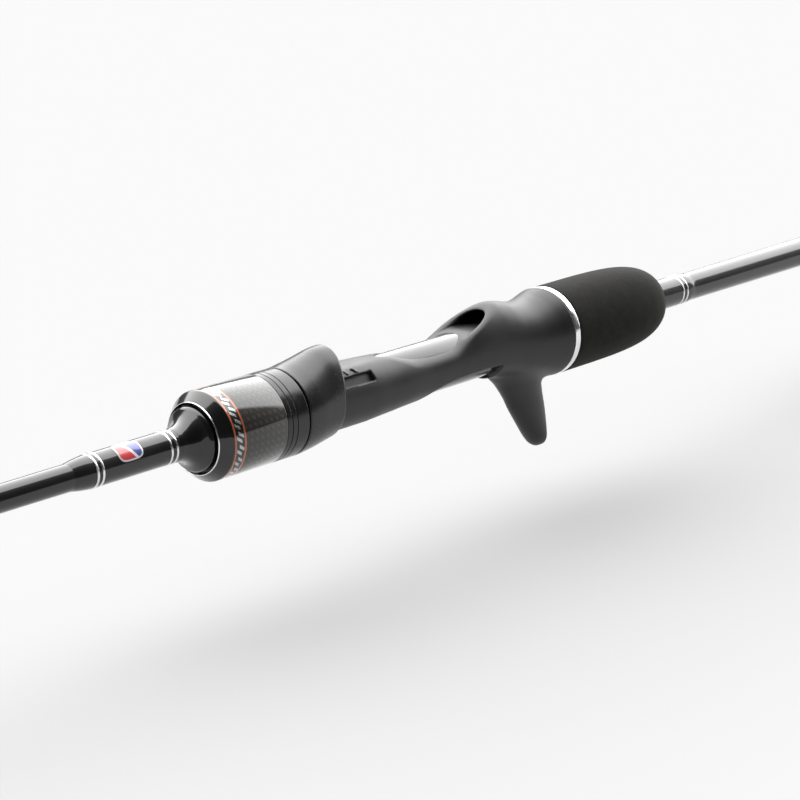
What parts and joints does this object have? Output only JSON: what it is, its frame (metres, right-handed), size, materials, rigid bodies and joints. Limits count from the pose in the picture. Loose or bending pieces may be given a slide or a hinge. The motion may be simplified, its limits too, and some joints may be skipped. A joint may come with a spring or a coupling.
{
  "type": "bait-casting fishing rod",
  "caption": "Take-down bait-casting rod with split foam grips, a trigger reel seat with a screw-down moving hood, and ring guides.",
  "frame": {"origin": "centre of the butt cap's flat end face", "axes": "+X along the rod to the tip, +Z to the side that carries the reel and the guides, +Y to the left of the rod seen from the butt with the reel up"},
  "size_m": [1.83, 0.0272, 0.0516],
  "materials": {
    "gloss_blank": "gloss black clear coat over carbon fibre",
    "foam": "matte closed-cell EVA foam, fine open grain",
    "seat_matte": "satin black moulded nylon",
    "rubber_black": "matte rubber",
    "silver": "polished metal",
    "anodised_black": "gloss black anodised",
    "satin_black": "satin black anodised",
    "nut_alloy": "machined and polished edge",
    "carbon_weave": "carbon twill under gloss clear coat",
    "accent_orange": "orange metallic",
    "accent_metal": "dark metallic with a light pattern",
    "badge": "gloss decal",
    "thread_wrap": "thread under gloss epoxy",
    "guide_frame": "dark titanium grey, gloss",
    "ceramic": "polished ceramic",
    "arbor": "rigid foam",
    "spring_steel": "bright"
  },
  "bodies": {
    "butt_section": {"arbor_front": "arbor", "arbor_rear": "arbor", "blank_butt": "gloss_blank", "butt_cap": "rubber_black", "butt_ring": "silver", "core_tube": "gloss_blank", "emblem": "badge", "fore_trims": "silver", "fore_wrap": "thread_wrap", "front_check": "anodised_black", "guide_1_frame": "guide_frame", "guide_1_ring": "ceramic", "guide_1_wrap": "thread_wrap", "mid_grip": "foam", "rear_check": "silver", "rear_grip": "foam", "rear_trims": "silver", "rear_wrap": "thread_wrap", "reel_seat": "seat_matte", "seat_ring": "silver"},
    "hood": {"moving_hood": "seat_matte", "snap_ring": "spring_steel"},
    "nut": {"nut_core": "nut_alloy", "nut_collar": "satin_black", "nut_sleeve": "carbon_weave", "accent_band": "accent_metal", "accent_lines": "accent_orange", "nut_end_ring": "anodised_black"},
    "tip_section": {"blank_tip": "gloss_blank", "ferrule_trims": "silver", "ferrule_wrap": "thread_wrap", "guide_2_frame": "guide_frame", "guide_2_ring": "ceramic", "guide_2_wrap": "thread_wrap", "guide_3_frame": "guide_frame", "guide_3_ring": "ceramic", "guide_3_wrap": "thread_wrap", "guide_4_frame": "guide_frame", "guide_4_ring": "ceramic", "guide_4_wrap": "thread_wrap", "guide_5_frame": "guide_frame", "guide_5_ring": "ceramic", "guide_5_wrap": "thread_wrap", "guide_6_frame": "guide_frame", "guide_6_ring": "ceramic", "guide_6_wrap": "thread_wrap", "guide_7_frame": "guide_frame", "guide_7_ring": "ceramic", "guide_7_wrap": "thread_wrap", "guide_8_frame": "guide_frame", "guide_8_ring": "ceramic", "guide_8_wrap": "thread_wrap", "tip_top_frame": "guide_frame", "tip_top_ring": "ceramic", "tip_top_wrap": "thread_wrap"}
  },
  "joints": [
    {"name": "hood_slide", "type": "slide", "parent": "butt_section", "child": "hood", "axis": [1, 0, 0], "range_m": [-0.012, 0.01]},
    {"name": "nut_turn", "type": "hinge", "parent": "hood", "child": "nut", "pos_m": [0.407, 0, 0], "axis": [1, 0, 0], "range_deg": [-2881, 2401]},
    {"name": "tip_pull", "type": "slide", "parent": "butt_section", "child": "tip_section", "axis": [1, 0, 0], "range_m": [0, 0.06]}
  ],
  "couplings": [
    {"joint": "nut_turn", "follows": "hood_slide", "rad_per_m": 4188.8}
  ]
}
